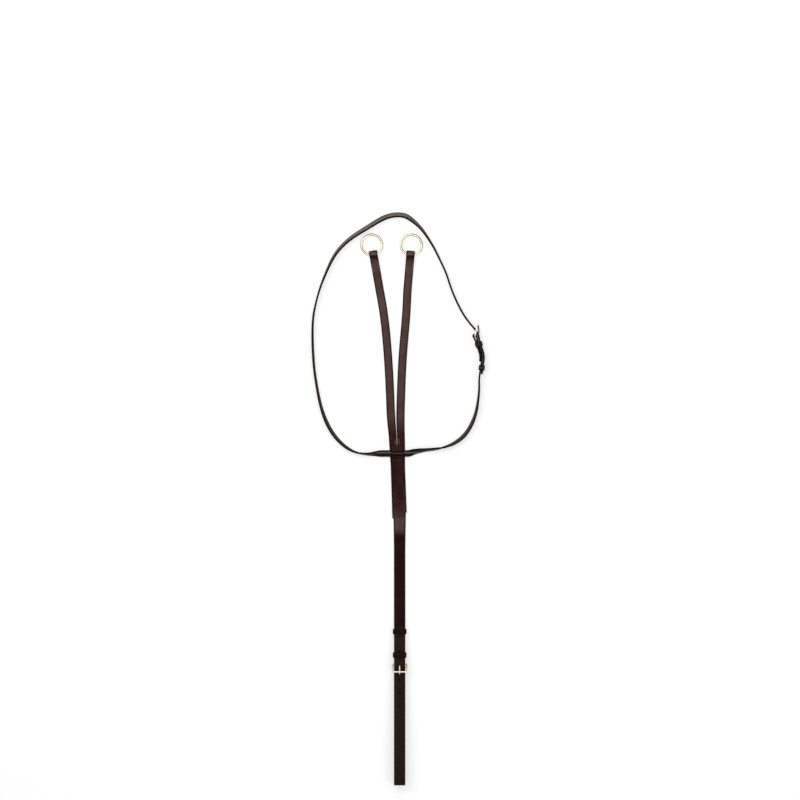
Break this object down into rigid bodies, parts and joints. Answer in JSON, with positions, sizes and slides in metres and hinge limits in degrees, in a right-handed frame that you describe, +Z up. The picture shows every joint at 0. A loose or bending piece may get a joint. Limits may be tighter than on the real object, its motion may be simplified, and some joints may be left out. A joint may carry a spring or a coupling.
{
  "type": "running martingale",
  "caption": "Leather running martingale laid flat: forked strap with brass rein rings, buckled neck strap through a loop, and a girth strap ending in a buckled loop.",
  "frame": {"origin": "underside of the fork strap, under the middle of the neck strap's crossing", "axes": "+Y along the strap towards the rein rings, +X across it towards the neck buckle's side, +Z up out of the straps' outer face"},
  "size_m": [0.33, 1.0885, 0.0223],
  "materials": {
    "fork_leather": "smooth bridle leather, dark havana brown, waxed",
    "neck_leather": "smooth bridle leather, very dark brown, burnished edges",
    "brass": "polished pale brass",
    "thread": "waxed linen thread, tan brown"
  },
  "bodies": {
    "fork": {"fork_strap": "fork_leather", "slit_stitching": "thread", "left_ring_stitching": "thread", "right_ring_stitching": "thread", "neck_loop": "fork_leather", "neck_loop_stitching": "thread", "girth_strap": "fork_leather", "splice_stitching": "thread", "girth_chape": "fork_leather", "girth_chape_stitching": "thread", "girth_fixed_keeper": "fork_leather"},
    "left_ring": {"left_ring": "brass"},
    "right_ring": {"right_ring": "brass"},
    "neck": {"neck_strap": "neck_leather", "neck_buckle_stitching": "thread", "neck_fixed_keeper": "neck_leather"},
    "neck_frame": {"neck_buckle_frame": "brass"},
    "neck_tongue": {"neck_buckle_tongue": "brass"},
    "neck_runner": {"neck_running_keeper": "neck_leather"},
    "girth_frame": {"girth_buckle_frame": "brass"},
    "girth_tongue": {"girth_buckle_tongue": "brass"},
    "girth_runner": {"girth_running_keeper": "fork_leather"}
  },
  "joints": [
    {"name": "left_ring_turn", "type": "hinge", "parent": "fork", "child": "left_ring", "pos_m": [-0.04553, 0.37744, 0.00564], "axis": [0.9848, 0.1736, 0], "range_deg": [-145, 155]},
    {"name": "right_ring_turn", "type": "hinge", "parent": "fork", "child": "right_ring", "pos_m": [0.02462, 0.37722, 0.00564], "axis": [0.9965, -0.0837, 0], "range_deg": [-145, 155]},
    {"name": "neck_slide", "type": "slide", "parent": "fork", "child": "neck", "axis": [1, 0, 0], "range_m": [-0.005, 0.005]},
    {"name": "neck_frame_turn", "type": "hinge", "parent": "neck", "child": "neck_frame", "pos_m": [0.147, 0.2233, 0.01055], "axis": [0, 0, -1], "range_deg": [-3, 4]},
    {"name": "neck_tongue_lift", "type": "hinge", "parent": "neck_frame", "child": "neck_tongue", "pos_m": [0.147, 0.2233, 0.01055], "axis": [0, 0, -1], "range_deg": [0, 4]},
    {"name": "neck_runner_slide", "type": "slide", "parent": "neck", "child": "neck_runner", "axis": [-0.1392, -0.9903, 0], "range_m": [-0.004, 0.004]},
    {"name": "girth_frame_turn", "type": "hinge", "parent": "fork", "child": "girth_frame", "pos_m": [0.0042, -0.4, 0.0087], "axis": [-1, 0, 0], "range_deg": [-3, 4]},
    {"name": "girth_tongue_lift", "type": "hinge", "parent": "girth_frame", "child": "girth_tongue", "pos_m": [0.0042, -0.4, 0.0087], "axis": [-1, 0, 0], "range_deg": [0, 4]},
    {"name": "girth_runner_slide", "type": "slide", "parent": "fork", "child": "girth_runner", "axis": [0, 1, 0], "range_m": [-0.004, 0.004]}
  ]
}
